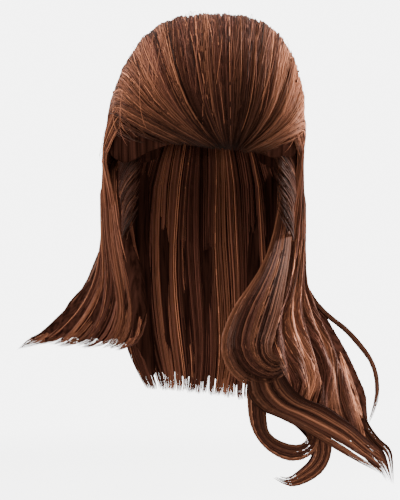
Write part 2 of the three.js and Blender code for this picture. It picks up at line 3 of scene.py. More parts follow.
import bpy
import numpy as np
from mathutils import Matrix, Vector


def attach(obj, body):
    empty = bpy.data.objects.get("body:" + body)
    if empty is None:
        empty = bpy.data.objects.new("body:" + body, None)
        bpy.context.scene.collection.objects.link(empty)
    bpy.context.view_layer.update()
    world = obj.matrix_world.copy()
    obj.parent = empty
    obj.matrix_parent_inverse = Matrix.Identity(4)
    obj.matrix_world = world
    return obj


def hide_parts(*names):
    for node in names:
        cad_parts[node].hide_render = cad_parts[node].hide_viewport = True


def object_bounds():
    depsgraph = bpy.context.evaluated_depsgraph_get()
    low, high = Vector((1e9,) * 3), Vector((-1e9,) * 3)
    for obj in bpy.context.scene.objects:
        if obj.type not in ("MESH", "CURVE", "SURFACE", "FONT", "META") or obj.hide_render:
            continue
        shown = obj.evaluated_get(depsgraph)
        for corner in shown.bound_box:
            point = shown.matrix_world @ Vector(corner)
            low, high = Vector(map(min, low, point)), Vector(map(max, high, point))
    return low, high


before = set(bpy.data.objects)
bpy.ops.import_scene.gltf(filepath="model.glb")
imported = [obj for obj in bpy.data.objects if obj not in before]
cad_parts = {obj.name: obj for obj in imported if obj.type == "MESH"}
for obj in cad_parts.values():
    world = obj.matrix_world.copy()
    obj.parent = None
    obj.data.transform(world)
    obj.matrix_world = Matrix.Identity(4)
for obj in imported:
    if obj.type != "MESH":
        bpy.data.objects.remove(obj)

cad_box = [list(corner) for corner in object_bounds()]

# Sizes of the head and of the hair forms, in metres, the same as those of the solids
HEAD_BREADTH = 0.150
HEAD_LENGTH = 0.188
POUF_HEIGHT = 0.075
POUF_HALF_WIDTH = 0.095
POUF_FRONT = 0.096
POUF_BACK = 0.104
POUF_EDGE = 0.052
POUF_EDGE_SINK = 2  # the lower edge rises this many times the depth under the surface
POUF_SIDE_DROP = 0.020
POUF_SQUARENESS = 3.0  # 2 is a round arch from side to side
POUF_LENGTH_KEPT = 0.6  # below 1 the sides keep more of the length, front to back
POUF_OFFSET = -0.006
POUF_LEAN = 0.012
POUF_PARTING = 0.32  # share of the half width
SWEEP_THICK = 0.010
SWEEP_HEIGHT = 0.064
ROOT_DEPTH = 0.042
RIGHT_DROP = 0.246
RIGHT_FLARE = 0.092
LEFT_DROP = 0.345
LEFT_FLARE = 0.053
BACK_DROP = 0.300
BACK_BULGE = 0.026
SIDE_BULGE = 0.005
FALL_INSET = 0.003
FALL_HALF_WIDTH = POUF_HALF_WIDTH - FALL_INSET
FALL_THICK = 0.030
CURL_THICK = 0.017

# How the strands follow those forms
POUF_SIDE_LIMIT = 0.985  # share of the half width that they reach at most
LOCK_DEPTH = 0.18  # half the share of the thickness that is lost between two locks
EDGE_THINNING = 0.75  # 1 brings a band to nothing at its edges
EDGE_POWER = 6  # the higher, the closer to the edges it thins

# A strand is a closed tube of three sides, wider than it is deep, that narrows to both ends.
# Root and tip widths are shares of the full width, and a swell is how fast the width grows from
# there, in full widths over the length
STRAND_SIDES = 3
STRAND_WIDTH = 0.0013
WIDTH_SHARES = (0.45, 1.25)
STRAND_FLATNESS = 0.5
ROOT_WIDTH = 0.35
ROOT_SWELL = 6
TIP_WIDTH = 0.10
TIP_SWELL = 2.2

# Strips of the UV map: margins are shares of a strip, which is as wide as four steps along it
STRIP_SIDE_MARGIN = 0.15
STRIP_END_MARGIN = 0.04
STEPS_IN_STRIP_WIDTH = 4

# Seeds of the random places and of each piece's wisps
SEED = 20
CROWN_SEED = 30
FALL_RIGHT_SEED = 22
FALL_LEFT_SEED = 24
FALL_BACK_SEED = 26
CURL_SEED = 28
TEMPLE_SEED = 30
DRAPE_RIGHT_SEED = 32
DRAPE_LEFT_SEED = 33
DRAPE_BACK_SEED = 34

# Rows of the crown from the hairline over the top to the nape: aft, up and out are shares of the
# reach, the rise and the half width
CROWN_PROFILE = np.array([
    (-0.84, 0.00, 0.74), (-0.97, 0.14, 0.87), (-1.00, 0.34, 0.97), (-0.94, 0.58, 1.00),
    (-0.76, 0.80, 1.00), (-0.43, 0.95, 1.00), (0.00, 1.00, 1.00), (0.42, 0.93, 1.00),
    (0.76, 0.74, 0.99), (0.95, 0.47, 0.97), (1.00, 0.18, 0.93), (0.93, -0.06, 0.87),
    (0.80, -0.08, 0.82),
])

# Rows of a fall: front down, front out, front aft, back down, back out, back aft, flare, thick
RIGHT_FALL = np.array([
    (0.00, 0.78, 0.10, 0.00, 0.66, 0.30, 0.00, 0.50),
    (0.18, 0.92, 0.05, 0.20, 0.93, 0.33, 0.00, 0.75),
    (0.46, 0.86, 0.00, 0.46, 0.98, 0.32, 0.00, 0.85),
    (0.67, 0.75, -0.07, 0.66, 1.00, 0.27, 0.10, 0.85),
    (0.83, 0.70, -0.13, 0.81, 1.00, 0.19, 0.35, 0.80),
    (0.95, 0.77, -0.14, 0.92, 1.00, 0.12, 0.66, 0.55),
    (1.00, 0.94, -0.11, 0.97, 1.00, 0.07, 0.88, 0.14),
])
LEFT_FALL = np.array([
    (0.00, 0.74, 0.10, 0.00, 0.60, 0.30, 0.00, 0.50),
    (0.13, 0.82, 0.05, 0.14, 0.84, 0.32, 0.00, 0.70),
    (0.32, 0.77, -0.03, 0.32, 0.90, 0.27, 0.00, 0.80),
    (0.46, 0.64, -0.16, 0.46, 0.92, 0.16, 0.00, 0.90),
    (0.57, 0.50, -0.29, 0.58, 1.00, 0.03, 0.20, 1.00),
    (0.67, 0.50, -0.37, 0.70, 1.00, -0.11, 0.56, 1.10),
    (0.76, 0.54, -0.41, 0.82, 1.00, -0.21, 0.88, 1.05),
    (0.83, 0.60, -0.43, 0.93, 1.00, -0.28, 1.00, 0.75),
    (0.88, 0.70, -0.44, 1.00, 1.00, -0.32, 0.92, 0.15),
])
BACK_FALL = np.array([
    (0.00, -0.56, 0.30, 0.00, 0.56, 0.30, 0.00, 0.50),
    (0.16, -0.72, 0.36, 0.16, 0.72, 0.36, 0.00, 0.75),
    (0.38, -0.76, 0.37, 0.38, 0.76, 0.36, 0.00, 0.80),
    (0.60, -0.74, 0.35, 0.60, 0.76, 0.33, 0.00, 0.80),
    (0.78, -0.70, 0.33, 0.82, 0.74, 0.30, 0.00, 0.70),
    (0.90, -0.62, 0.32, 0.96, 0.68, 0.28, 0.00, 0.45),
    (0.95, -0.56, 0.33, 1.00, 0.62, 0.29, 0.00, 0.12),
])

# Rows of a temple sweep: top down, bottom down, top out, bottom out, aft, thick
TEMPLE_SWEEP = np.array([
    (0.00, 1.00, 0.84, 0.90, -0.25, 0.35),
    (-0.02, 0.95, 0.98, 1.02, -0.15, 0.80),
    (-0.06, 0.85, 1.06, 1.06, -0.05, 1.00),
    (-0.10, 0.70, 1.10, 1.08, 0.06, 1.00),
])

# Rows of a curled end: near out, near down, far out, far down, aft, thick
INNER_CURL = np.array([
    (0.78, 0.160, 0.90, 0.160, 0.02, 0.30), (0.72, 0.270, 0.86, 0.270, -0.07, 0.45),
    (0.63, 0.370, 0.82, 0.380, -0.17, 0.60), (0.49, 0.455, 0.76, 0.470, -0.27, 0.80),
    (0.33, 0.525, 0.70, 0.550, -0.34, 1.00), (0.22, 0.600, 0.64, 0.615, -0.39, 1.00),
    (0.19, 0.665, 0.61, 0.655, -0.43, 1.00), (0.26, 0.725, 0.64, 0.685, -0.46, 0.90),
    (0.41, 0.765, 0.70, 0.695, -0.49, 0.80), (0.62, 0.775, 0.75, 0.695, -0.51, 0.60),
    (0.83, 0.725, 0.81, 0.690, -0.52, 0.15),
])
LOOP_CURL = np.array([
    (0.42, 0.750, 0.62, 0.775, -0.46, 0.70), (0.42, 0.820, 0.57, 0.835, -0.48, 0.70),
    (0.44, 0.885, 0.58, 0.890, -0.49, 0.65), (0.51, 0.935, 0.61, 0.920, -0.49, 0.60),
    (0.64, 0.975, 0.70, 0.945, -0.49, 0.55), (0.83, 1.000, 0.85, 0.960, -0.48, 0.50),
    (1.01, 0.990, 0.96, 0.955, -0.47, 0.45), (1.12, 0.950, 1.01, 0.935, -0.45, 0.35),
    (1.09, 0.910, 1.00, 0.910, -0.44, 0.12),
])
TAIL_CURL = np.array([
    (0.80, 0.790, 0.66, 0.835, -0.42, 0.50), (1.07, 0.850, 0.89, 0.890, -0.41, 0.70),
    (1.22, 0.915, 1.03, 0.935, -0.41, 0.70), (1.24, 0.980, 1.08, 0.980, -0.42, 0.60),
    (1.16, 1.035, 1.04, 1.010, -0.43, 0.55), (1.00, 1.070, 0.94, 1.035, -0.45, 0.45),
    (0.83, 1.085, 0.81, 1.060, -0.46, 0.30), (0.66, 1.060, 0.68, 1.050, -0.47, 0.10),
])
OUTER_CURL = np.array([
    (1.49, 0.810, 1.31, 0.845, -0.25, 0.50), (1.61, 0.890, 1.43, 0.915, -0.27, 0.50),
    (1.73, 0.945, 1.55, 0.970, -0.29, 0.45), (1.84, 0.980, 1.67, 1.015, -0.31, 0.35),
    (1.88, 1.020, 1.76, 1.045, -0.32, 0.25), (1.90, 1.085, 1.86, 1.085, -0.33, 0.10),
])
LOOSE_LOCK = np.array([
    (0.98, 0.440, 0.94, 0.455, 0.08, 0.25), (1.14, 0.515, 1.09, 0.525, 0.04, 0.25),
    (1.28, 0.560, 1.24, 0.572, 0.01, 0.25), (1.45, 0.600, 1.41, 0.612, -0.02, 0.25),
    (1.60, 0.650, 1.55, 0.660, -0.05, 0.25), (1.71, 0.700, 1.67, 0.707, -0.08, 0.25),
    (1.77, 0.755, 1.72, 0.760, -0.11, 0.25), (1.77, 0.820, 1.72, 0.818, -0.14, 0.25),
    (1.71, 0.875, 1.67, 0.872, -0.18, 0.20), (1.64, 0.915, 1.62, 0.912, -0.21, 0.10),
])
RIGHT_FLICK = np.array([
    (1.02, 0.420, 0.94, 0.450, 0.30, 0.30), (1.15, 0.550, 1.05, 0.585, 0.28, 0.45),
    (1.29, 0.700, 1.19, 0.740, 0.25, 0.55), (1.43, 0.775, 1.30, 0.820, 0.22, 0.55),
    (1.56, 0.870, 1.44, 0.900, 0.19, 0.50), (1.71, 0.920, 1.59, 0.955, 0.15, 0.40),
    (1.88, 0.955, 1.78, 0.975, 0.11, 0.25), (2.00, 1.000, 1.99, 1.005, 0.08, 0.10),
])

# A wave of strands over the chest, below the inner curl, in the same columns
CHEST_WAVE = np.array([
    (0.43, 0.735, 0.69, 0.715, -0.50, 0.30), (0.45, 0.800, 0.80, 0.780, -0.51, 0.50),
    (0.58, 0.845, 0.95, 0.820, -0.51, 0.55), (0.78, 0.870, 1.14, 0.843, -0.50, 0.55),
    (1.01, 0.905, 1.31, 0.874, -0.47, 0.50), (1.26, 0.952, 1.47, 0.905, -0.43, 0.45),
    (1.52, 1.005, 1.65, 0.955, -0.38, 0.35), (1.80, 1.055, 1.84, 1.000, -0.33, 0.15),
])


def smooth_rows(rows, share):
    """The rows' values at shares from 0 to 1 of the way down the table, on a smooth curve."""
    padded = np.concatenate([2 * rows[:1] - rows[1:2], rows, 2 * rows[-1:] - rows[-2:-1]])
    place = np.clip(share, 0, 1) * (len(rows) - 1)
    first = np.minimum(place.astype(int), len(rows) - 2)
    between = (place - first).reshape(place.shape + (1,) * (rows.ndim - 1))
    before, start, end, after = (padded[first + step] for step in range(4))
    slope = end - before
    bend = 2 * before - 5 * start + 4 * end - after
    twist = 3 * start - before - 3 * end + after
    return 0.5 * (2 * start + slope * between + bend * between**2 + twist * between**3)


def unit(vectors):
    return vectors / np.maximum(np.linalg.norm(vectors, axis=-1, keepdims=True), 1e-9)


def along_path(points):
    return unit(np.gradient(points, axis=1))


def bell(value, middle, breadth):
    """1 at the middle, and less the farther the value is from it."""
    return np.exp(-(((value - middle) / breadth) ** 2))


# Strands to meshes


def strand_corners(paths, outward, width):
    """The corners of closed three-sided tubes, strands by points by sides by 3."""
    side = unit(np.cross(along_path(paths), outward))
    up = np.cross(side, along_path(paths))
    share = np.linspace(0, 1, paths.shape[1])
    root_taper = np.minimum(1, ROOT_WIDTH + ROOT_SWELL * share)
    tip_taper = np.minimum(1, TIP_WIDTH + TIP_SWELL * (1 - share))
    radius = 0.5 * np.asarray(width).reshape(-1, 1) * (root_taper * tip_taper)
    turns = (2 * np.pi * np.arange(STRAND_SIDES) / STRAND_SIDES)[:, None]
    ring = (side[:, :, None] * np.cos(turns)
            + up[:, :, None] * (STRAND_FLATNESS * np.sin(turns)))
    return paths[:, :, None] + ring * radius[:, :, None, None]


def strand_faces(strands, points):
    """The corners of every face one after another, and how many corners each face has."""
    corner = np.arange(strands * points * STRAND_SIDES).reshape(strands, points, STRAND_SIDES)
    next_corner = np.roll(corner, -1, axis=2)
    quads = np.stack([corner[:, :-1], next_corner[:, :-1], next_corner[:, 1:], corner[:, 1:]],
                     axis=-1).reshape(-1, 4)
    caps = np.vstack([corner[:, 0, ::-1], corner[:, -1]])
    loops = np.concatenate([quads.ravel(), caps.ravel()])
    sizes = np.concatenate([np.full(len(quads), 4), np.full(len(caps), STRAND_SIDES)])
    return loops, sizes


def strand_mesh(name, paths, outward, width, tone, copper, root=0.0, tip=1.0):
    """One piece of closed three-sided tubes. Paths and outward are strands by points by 3. Width
    and tone hold a value for each strand, copper one for each strand or for each of its points.
    Along runs from root to tip."""
    strands, points, _ = paths.shape
    corners = strand_corners(paths, outward, width)
    loops, sizes = strand_faces(strands, points)
    mesh = bpy.data.meshes.new(name)
    mesh.vertices.add(strands * points * STRAND_SIDES)
    mesh.vertices.foreach_set("co", corners.ravel())
    mesh.loops.add(len(loops))
    mesh.loops.foreach_set("vertex_index", loops)
    mesh.polygons.add(len(sizes))
    mesh.polygons.foreach_set("loop_start", np.concatenate([[0], np.cumsum(sizes)[:-1]]))
    mesh.update(calc_edges=True)
    mesh.polygons.foreach_set("use_smooth", np.ones(len(sizes), dtype=bool))

    per_corner = (strands, points, STRAND_SIDES)
    fields = {
        "along": (root + (tip - root) * np.linspace(0, 1, points))[None, :, None],
        "tone": np.asarray(tone).reshape(-1, 1, 1),
        "copper": np.asarray(copper).reshape(strands, -1, 1),
    }
    for field, values in fields.items():
        filled = np.ascontiguousarray(np.broadcast_to(values, per_corner))
        mesh.attributes.new(field, "FLOAT", "POINT").data.foreach_set("value", filled.ravel())
    strip_map(mesh, strands, points, loops)
    piece = bpy.data.objects.new(name, mesh)
    bpy.context.scene.collection.objects.link(piece)
    return piece


def strip_map(mesh, strands, points, loops):
    """A UV map with a narrow strip for each strand, root at the bottom."""
    columns = max(1, math.ceil(math.sqrt(strands * points / STEPS_IN_STRIP_WIDTH)))
    rows = math.ceil(strands / columns)
    strand, rest = np.divmod(loops, points * STRAND_SIDES)
    point, corner = np.divmod(rest, STRAND_SIDES)
    column, row = strand % columns, strand // columns
    across = corner / (STRAND_SIDES - 1)
    ahead = point / (points - 1)
    u = (column + STRIP_SIDE_MARGIN + (1 - 2 * STRIP_SIDE_MARGIN) * across) / columns
    v = (row + STRIP_END_MARGIN + (1 - 2 * STRIP_END_MARGIN) * ahead) / rows
    layer = mesh.uv_layers.new(name="OFBake")
    layer.data.foreach_set("uv", np.stack([u, v], axis=-1).ravel())


# The hair forms


def crown_point(turn, side, sink):
    """A place on the crown: turn runs from the hairline over the top to the nape, side from -1 to
    1 across the head, and sink is the depth under the surface."""
    profile = smooth_rows(CROWN_PROFILE, turn)
    aft, up, out = profile[..., 0], profile[..., 1], profile[..., 2]
    within = np.abs(np.clip(side, -POUF_SIDE_LIMIT, POUF_SIDE_LIMIT))
    angle = within ** (POUF_SQUARENESS / 2) * np.pi / 2
    power = 2 / POUF_SQUARENESS
    across = np.sign(side) * np.sin(angle) ** power
    height = up * np.cos(angle) ** power
    length = np.cos(angle) ** POUF_LENGTH_KEPT
    reach = np.where(aft < 0, POUF_FRONT, POUF_BACK) - sink
    edge_depth = POUF_EDGE - POUF_EDGE_SINK * sink
    lowest = -edge_depth - POUF_SIDE_DROP * np.abs(across) ** 3
    rise = POUF_HEIGHT - sink + edge_depth
    x = across * out * (POUF_HALF_WIDTH - sink) + POUF_OFFSET + POUF_LEAN * height
    return np.stack([x, aft * reach * length, lowest + height * rise], axis=-1)


class Band:
    """Hair between a near edge and a far edge, with a thickness for each row."""

    def __init__(self, near, far, thick, outside, bulge=0.0, locks=1):
        self.near = near
        self.far = far
        self.thick = thick
        self.outside = np.array(outside, dtype=float)
        self.bulge = bulge
        self.locks = locks

    def places(self, turn, share, layer):
        """Places at a share of the way from the near to the far edge, with layer from -1 on the
        inner face to 1 on the outer one, and the way out of the band there."""
        near, far = smooth_rows(self.near, turn), smooth_rows(self.far, turn)
        within = np.clip(share, 0, 1)
        middle = near + (far - near) * share[..., None]
        middle = middle + self.outside * self.bulge * np.sin(np.pi * within)[..., None]
        outward = unit(np.cross(along_path(middle), unit(far - near)))
        outward = outward * np.sign(outward @ self.outside)[..., None]
        lobes = 1 - LOCK_DEPTH + LOCK_DEPTH * np.cos(2 * np.pi * share * (self.locks - 1))
        half = 0.5 * smooth_rows(self.thick, turn) * lobes
        half = half * np.sqrt(1 - EDGE_THINNING * np.abs(2 * within - 1) ** EDGE_POWER)
        return middle + outward * (half * layer)[..., None], outward


def beside(side, drop, out, down, aft):
    """Places beside the head from shares of the half width, the way down and the head's length.
    Side is 1 on the +X side and -1 on the other."""
    return np.stack([side * out * FALL_HALF_WIDTH, aft * HEAD_LENGTH,
                     -ROOT_DEPTH - (drop - ROOT_DEPTH) * down], axis=-1)


def fall_band(rows, side, drop, flare, locks, outside, bulge):
    """A fall from its table, between its front edge and its back edge, which flares out."""
    front_down, front_out, front_aft, back_down, back_out, back_aft, flared, thick = rows.T
    front = beside(side, drop, front_out, front_down, front_aft)
    back = beside(side, drop, back_out, back_down, back_aft)
    back[:, 0] += side * flare * flared
    return Band(front, back, FALL_THICK * thick, outside, bulge, locks)


def curl_band(rows, side, drop):
    """A curled end from its table, with its outer side to the front."""
    near_out, near_down, far_out, far_down, aft, thick = rows.T
    near = beside(side, drop, near_out, near_down, aft)
    far = beside(side, drop, far_out, far_down, aft)
    return Band(near, far, CURL_THICK * thick, (0, -1, 0))


def sweep_band(side):
    """The flat band of hair that is drawn back over a temple."""
    top_down, bottom_down, top_out, bottom_out, aft, thick = TEMPLE_SWEEP.T

    def edge(out, down):
        return np.stack([side * out * HEAD_BREADTH / 2, aft * HEAD_LENGTH,
                         -POUF_EDGE - SWEEP_HEIGHT * down], axis=-1)

    return Band(edge(top_out, top_down), edge(bottom_out, bottom_down), SWEEP_THICK * thick,
                (side, 0, 0))


# Tones, copper and widths of the strands

# Wisps are counts over the breadth of a piece, and the three shares of light and dark add up to 1
BROAD_WISPS = 24
BROAD_SHARE = 0.22
FINE_WISPS = 110
FINE_SHARE = 0.38
SINGLE_SHARE = 0.40
COPPER_WISPS = 140
COPPER_LEAST = 0.35
COPPER_RANGE = 0.9
COPPER_POWER = 0.6
STREAK_SOFTNESS = 0.015
SINGLE_COPPER = 0.07  # share of the strands that are copper by themselves
SINGLE_STRENGTH = 0.8


def wisp_noise(place, wisps, seed):
    """A value from 0 to 1 for each place that is shared by the strands of a wisp."""
    values = np.random.default_rng(seed).random(wisps + 1)
    return values[np.round(np.clip(place, 0, 1) * wisps).astype(int)]


def strand_tones(place, rng, seed):
    """Light and dark by broad wisps, fine wisps and single strands."""
    return (BROAD_SHARE * wisp_noise(place, BROAD_WISPS, seed)
            + FINE_SHARE * wisp_noise(place, FINE_WISPS, seed + 1)
            + SINGLE_SHARE * rng.random(len(place)))


def streak_copper(place, streaks, rng, seed):
    """How much copper each strand has, from streaks given as place, breadth and strength, with
    soft edges, broken up by fine wisps, and with some single copper strands between them."""
    strayed = place + STREAK_SOFTNESS * rng.normal(size=len(place))
    glow = sum(strength * bell(strayed, middle, breadth) for middle, breadth, strength in streaks)
    wisps = COPPER_LEAST + COPPER_RANGE * wisp_noise(place, COPPER_WISPS, seed + 2)
    single = SINGLE_STRENGTH * (rng.random(len(place)) < SINGLE_COPPER)
    return np.clip(glow * wisps + single, 0, 1) * rng.random(len(place)) ** COPPER_POWER


def strand_widths(count, rng):
    return STRAND_WIDTH * rng.uniform(*WIDTH_SHARES, count)


# Strands over the crown

# Depths are in metres, and reaches and sways are shares of the half width. Waves are counts over
# the way from hairline to nape, bends are radians over it, and a mix puts neighbouring wisps out
# of step
CROWN_POINTS = 18
CROWN_REACH = 0.99
CROWN_DEEPEST = 0.006
CROWN_RAISED = 0.0012
CROWN_ROUGHNESS = 0.0008
CROWN_ROUGH_BENDS = 6
CROWN_ROUGH_MIX = 40
CROWN_RAGGED = 0.05
FIRST_POWER = 1.5  # above 1, more strands begin near the hairline
FAN_DELAY = 0.35  # the outer strands rise from the hairline this much later
PULL_DEEP = 0.05  # how far the deepest strands are drawn to the parting
PULL_SHALLOW = 0.80  # and how much more the outermost ones are
PULL_DEPTH_POWER = 0.9
PULL_POWER = 4.5  # how soon the pull ends behind the hairline
CROWN_WISPS = 31  # to each side
CROWN_GATHERED = 0.25  # how far strands are drawn to their wisp
CROWN_SWAY = 0.010
CROWN_WAVES = 1.3
CROWN_WAVE_MIX = 4
CROWN_WAVE_STRAY = 0.15
STRAY_SWAY = 0.006
STRAY_WAVES = (0.8, 2.2)
WILD_SWAY = 0.022
WILD_SHARE = 0.18
OUTWARD_STEP = 0.002  # the way out is read from two places this far apart in depth
CROWN_LIGHTER = 0.04
CROWN_TIP = 0.8

# Lighter and darker places and copper streaks of the crown: place from 0 at the -X side to 1 at
# the +X side, breadth, strength. The crown is darker around the parting, and lighter on the +X
# side as painted highlight where the side light falls. The broad copper streaks at both sides are
# copper strands and painted highlight of the side lights together; the narrow ones between them
# are copper strands.
CROWN_TONES_AND_LIT_SIDE = [(0.66, 0.19, -0.08), (0.93, 0.13, 0.22)]
CROWN_COPPER_AND_PAINTED_LIGHT = [(0.09, 0.07, 0.55), (0.94, 0.13, 2.0), (0.45, 0.016, 0.6), (0.59, 0.010, 0.5),
                 (0.68, 0.013, 0.6), (0.28, 0.02, 0.5), (0.80, 0.02, 0.7), (0.19, 0.02, 0.4)]
# The fade keeps the crown's copper, which is painted highlight in part, brightest at the front,
# where the light falls
COPPER_FRONT = 1.2  # above 1, the copper is full for a while before it fades toward the nape
COPPER_FADE = 0.7


def crown_sides(rest, wisp, depth, turn, rng):
    """Where the crown's strands lie across the head: drawn to the parting at the hairline, drawn
    together in wisps over the top, and swaying a little on the way."""
    pull = PULL_DEEP + PULL_SHALLOW * (1 - depth) ** PULL_DEPTH_POWER
    pull = pull * (1 - turn) ** PULL_POWER
    gathered = rest + (wisp - rest) * CROWN_GATHERED * np.sin(np.pi * turn) ** 2
    phase = CROWN_WAVES * turn + CROWN_WAVE_MIX * wisp + CROWN_WAVE_STRAY * rng.random(rest.shape)
    sway = CROWN_SWAY * np.sin(2 * np.pi * phase)
    stray_phase = rng.random(rest.shape)
    stray_waves = rng.uniform(*STRAY_WAVES, rest.shape)
    stray = STRAY_SWAY + WILD_SWAY * (rng.random(rest.shape) < WILD_SHARE)
    sway = sway + stray * np.sin(2 * np.pi * (stray_waves * turn + stray_phase))
    return gathered + (POUF_PARTING - gathered) * pull + sway * np.sin(np.pi * turn)


def crown_strands(name, count, rng, depths, first):
    """Strands that fan out from the parting at the hairline and run over the top to the nape.
    Depths are shares of the deepest, and first is how late the last strand begins."""
    ahead = np.linspace(0, 1, CROWN_POINTS)[None]
    rest = rng.uniform(-CROWN_REACH, CROWN_REACH, (count, 1))
    depth = rng.uniform(*depths, (count, 1))
    start = first * rng.random((count, 1)) ** FIRST_POWER
    end = 1 - CROWN_RAGGED * rng.random((count, 1))
    turn = start + (end - start) * ahead ** (1 + FAN_DELAY * np.abs(rest - POUF_PARTING))
    wisp = np.round(rest * CROWN_WISPS) / CROWN_WISPS
    side = crown_sides(rest, wisp, depth, turn, rng)
    relief = CROWN_ROUGHNESS * np.sin(CROWN_ROUGH_BENDS * turn + CROWN_ROUGH_MIX * wisp)
    sink = CROWN_DEEPEST * depth + relief - CROWN_RAISED
    paths = crown_point(turn, side, sink)
    outward = unit(paths - crown_point(turn, side, sink + OUTWARD_STEP))
    place = (rest[:, 0] + 1) / 2
    tone = strand_tones(place, rng, CROWN_SEED) + CROWN_LIGHTER
    # Painted highlight: the +X side of the crown is made lighter where the side light falls
    tone = tone + sum(strength * bell(place, middle, breadth)
                      for middle, breadth, strength in CROWN_TONES_AND_LIT_SIDE)
    # Copper strands, with painted highlight in the broad streaks at the sides, fading toward the
    # nape
    copper = streak_copper(place, CROWN_COPPER_AND_PAINTED_LIGHT, rng, CROWN_SEED)[:, None]
    copper = copper * np.minimum(1, COPPER_FRONT - COPPER_FADE * turn)
    widths = strand_widths(count, rng)
    return strand_mesh(name, paths, outward, widths, tone, copper, tip=CROWN_TIP)


# Single hairs that stand off the crown

# Widths and lifts are in metres, and the reach and the stray are shares of the half width
FLYAWAY_POINTS = 10
FLYAWAY_WIDTH = 0.0004
FLYAWAY_START = (0.05, 0.6)
FLYAWAY_RUN = (0.15, 0.35)
FLYAWAY_REACH = 0.97
FLYAWAY_STRAY = 0.05
FLYAWAY_LIFT = (0.001, 0.005)
FLYAWAY_ARCH = 0.8  # 1 comes back down to the crown at the tip
FLYAWAY_COPPER = 0.5
FLYAWAY_ROOT = 0.5


def flyaways(name, count, rng):
    """Fine single hairs that stand a little off the crown."""
    ahead = np.linspace(0, 1, FLYAWAY_POINTS)[None]
    start = rng.uniform(*FLYAWAY_START, (count, 1))
    turn = start + rng.uniform(*FLYAWAY_RUN, (count, 1)) * ahead
    side = rng.uniform(-FLYAWAY_REACH, FLYAWAY_REACH, (count, 1))
    side = side + FLYAWAY_STRAY * ahead * rng.normal(size=(count, 1))
    lift = rng.uniform(*FLYAWAY_LIFT, (count, 1)) * np.sin(np.pi * FLYAWAY_ARCH * ahead)
    paths = crown_point(turn, side, -lift)
    outward = unit(paths - crown_point(turn, side, OUTWARD_STEP - lift))
    widths = np.full(count, FLYAWAY_WIDTH)
    tone = rng.random(count)
    copper = FLYAWAY_COPPER * rng.random(count)
    return strand_mesh(name, paths, outward, widths, tone, copper, root=FLYAWAY_ROOT)


# Strands from the crown down over the falls

# Steps give the way over the crown and the depth under it, down gives the shares of the way down
# the fall, and a layer is 0 in the middle of the fall's thickness and 1 on its face
DRAPE_POINTS = 14
DRAPE_STEPS = [(0.0, 0.005), (0.35, 0.002), (0.7, 0.0), (1.0, -0.001)]
DRAPE_LAYER = (0.75, 1.05)
DRAPE_SINK = (-0.0005, 0.002)
DRAPE_COPPER = 0.5
DRAPE_COPPER_LOW = 0.1
DRAPE_ALONG = 0.5
DRAPE_OUTWARD_UP = 0.25
SIDE_DRAPE_FRONT = 0.16
SIDE_DRAPE_BACK = 0.82
SIDE_DRAPE_BEGIN = (0.62, 0.88)
SIDE_DRAPE_END = 0.975
SIDE_DRAPE_DOWN = np.linspace(0.24, 0.62, 5)
BACK_DRAPE_SHARE = (-0.10, 1.10)
BACK_DRAPE_REACH = 0.70
BACK_DRAPE_BEGIN = (0.58, 0.72)
BACK_DRAPE_END = 0.82
BACK_DRAPE_DOWN = np.linspace(0.20, 0.70, 5)


def drape_strands(name, crown_rows, band, down, share, outward, rng, seed):
    """Strands that run down the crown and on over the outer face of a fall. Crown_rows are their
    places on the crown, down the shares of the way down the fall, and share their places in it."""
    count = len(share)
    steps = np.tile(down, (count, 1))
    layer = np.tile(rng.uniform(*DRAPE_LAYER, (count, 1)), (1, len(down)))
    below, _ = band.places(steps, np.tile(share[:, None], (1, len(down))), layer)
    rows = np.concatenate([np.stack(crown_rows), np.swapaxes(below, 0, 1)])
    paths = np.swapaxes(smooth_rows(rows, np.linspace(0, 1, DRAPE_POINTS)), 0, 1)
    widths = strand_widths(count, rng)
    tone = strand_tones(share, rng, seed)
    copper = DRAPE_COPPER * rng.random((count, 1)) ** 2
    copper = copper * np.linspace(1, DRAPE_COPPER_LOW, DRAPE_POINTS)
    return strand_mesh(name, paths, np.broadcast_to(outward, paths.shape), widths, tone, copper,
                       root=DRAPE_ALONG, tip=DRAPE_ALONG)


def side_drape(name, band, side, count, rng, seed):
    """Strands from the side of the crown over a side fall."""
    share = rng.random(count)
    turn = SIDE_DRAPE_FRONT + (SIDE_DRAPE_BACK - SIDE_DRAPE_FRONT) * share
    sink = rng.uniform(*DRAPE_SINK, count)
    begin = rng.uniform(*SIDE_DRAPE_BEGIN, count)
    run = SIDE_DRAPE_END - begin
    crown_rows = [crown_point(turn, side * (begin + run * step), sink + deeper)
                  for step, deeper in DRAPE_STEPS]
    outward = np.array([side, 0.0, DRAPE_OUTWARD_UP])
    return drape_strands(name, crown_rows, band, SIDE_DRAPE_DOWN, share, outward, rng, seed)


def back_drape(name, band, count, rng, seed):
    """Strands from the nape side of the crown over the back fall."""
    share = rng.uniform(*BACK_DRAPE_SHARE, count)
    side = BACK_DRAPE_REACH * (2 * share - 1)
    sink = rng.uniform(*DRAPE_SINK, count)
    begin = rng.uniform(*BACK_DRAPE_BEGIN, count)
    run = BACK_DRAPE_END - begin
    crown_rows = [crown_point(begin + run * step, side, sink + deeper)
                  for step, deeper in DRAPE_STEPS]
    outward = np.array([0.0, 1.0, DRAPE_OUTWARD_UP])
    return drape_strands(name, crown_rows, band, BACK_DRAPE_DOWN, share, outward, rng, seed)


# Strands along a band

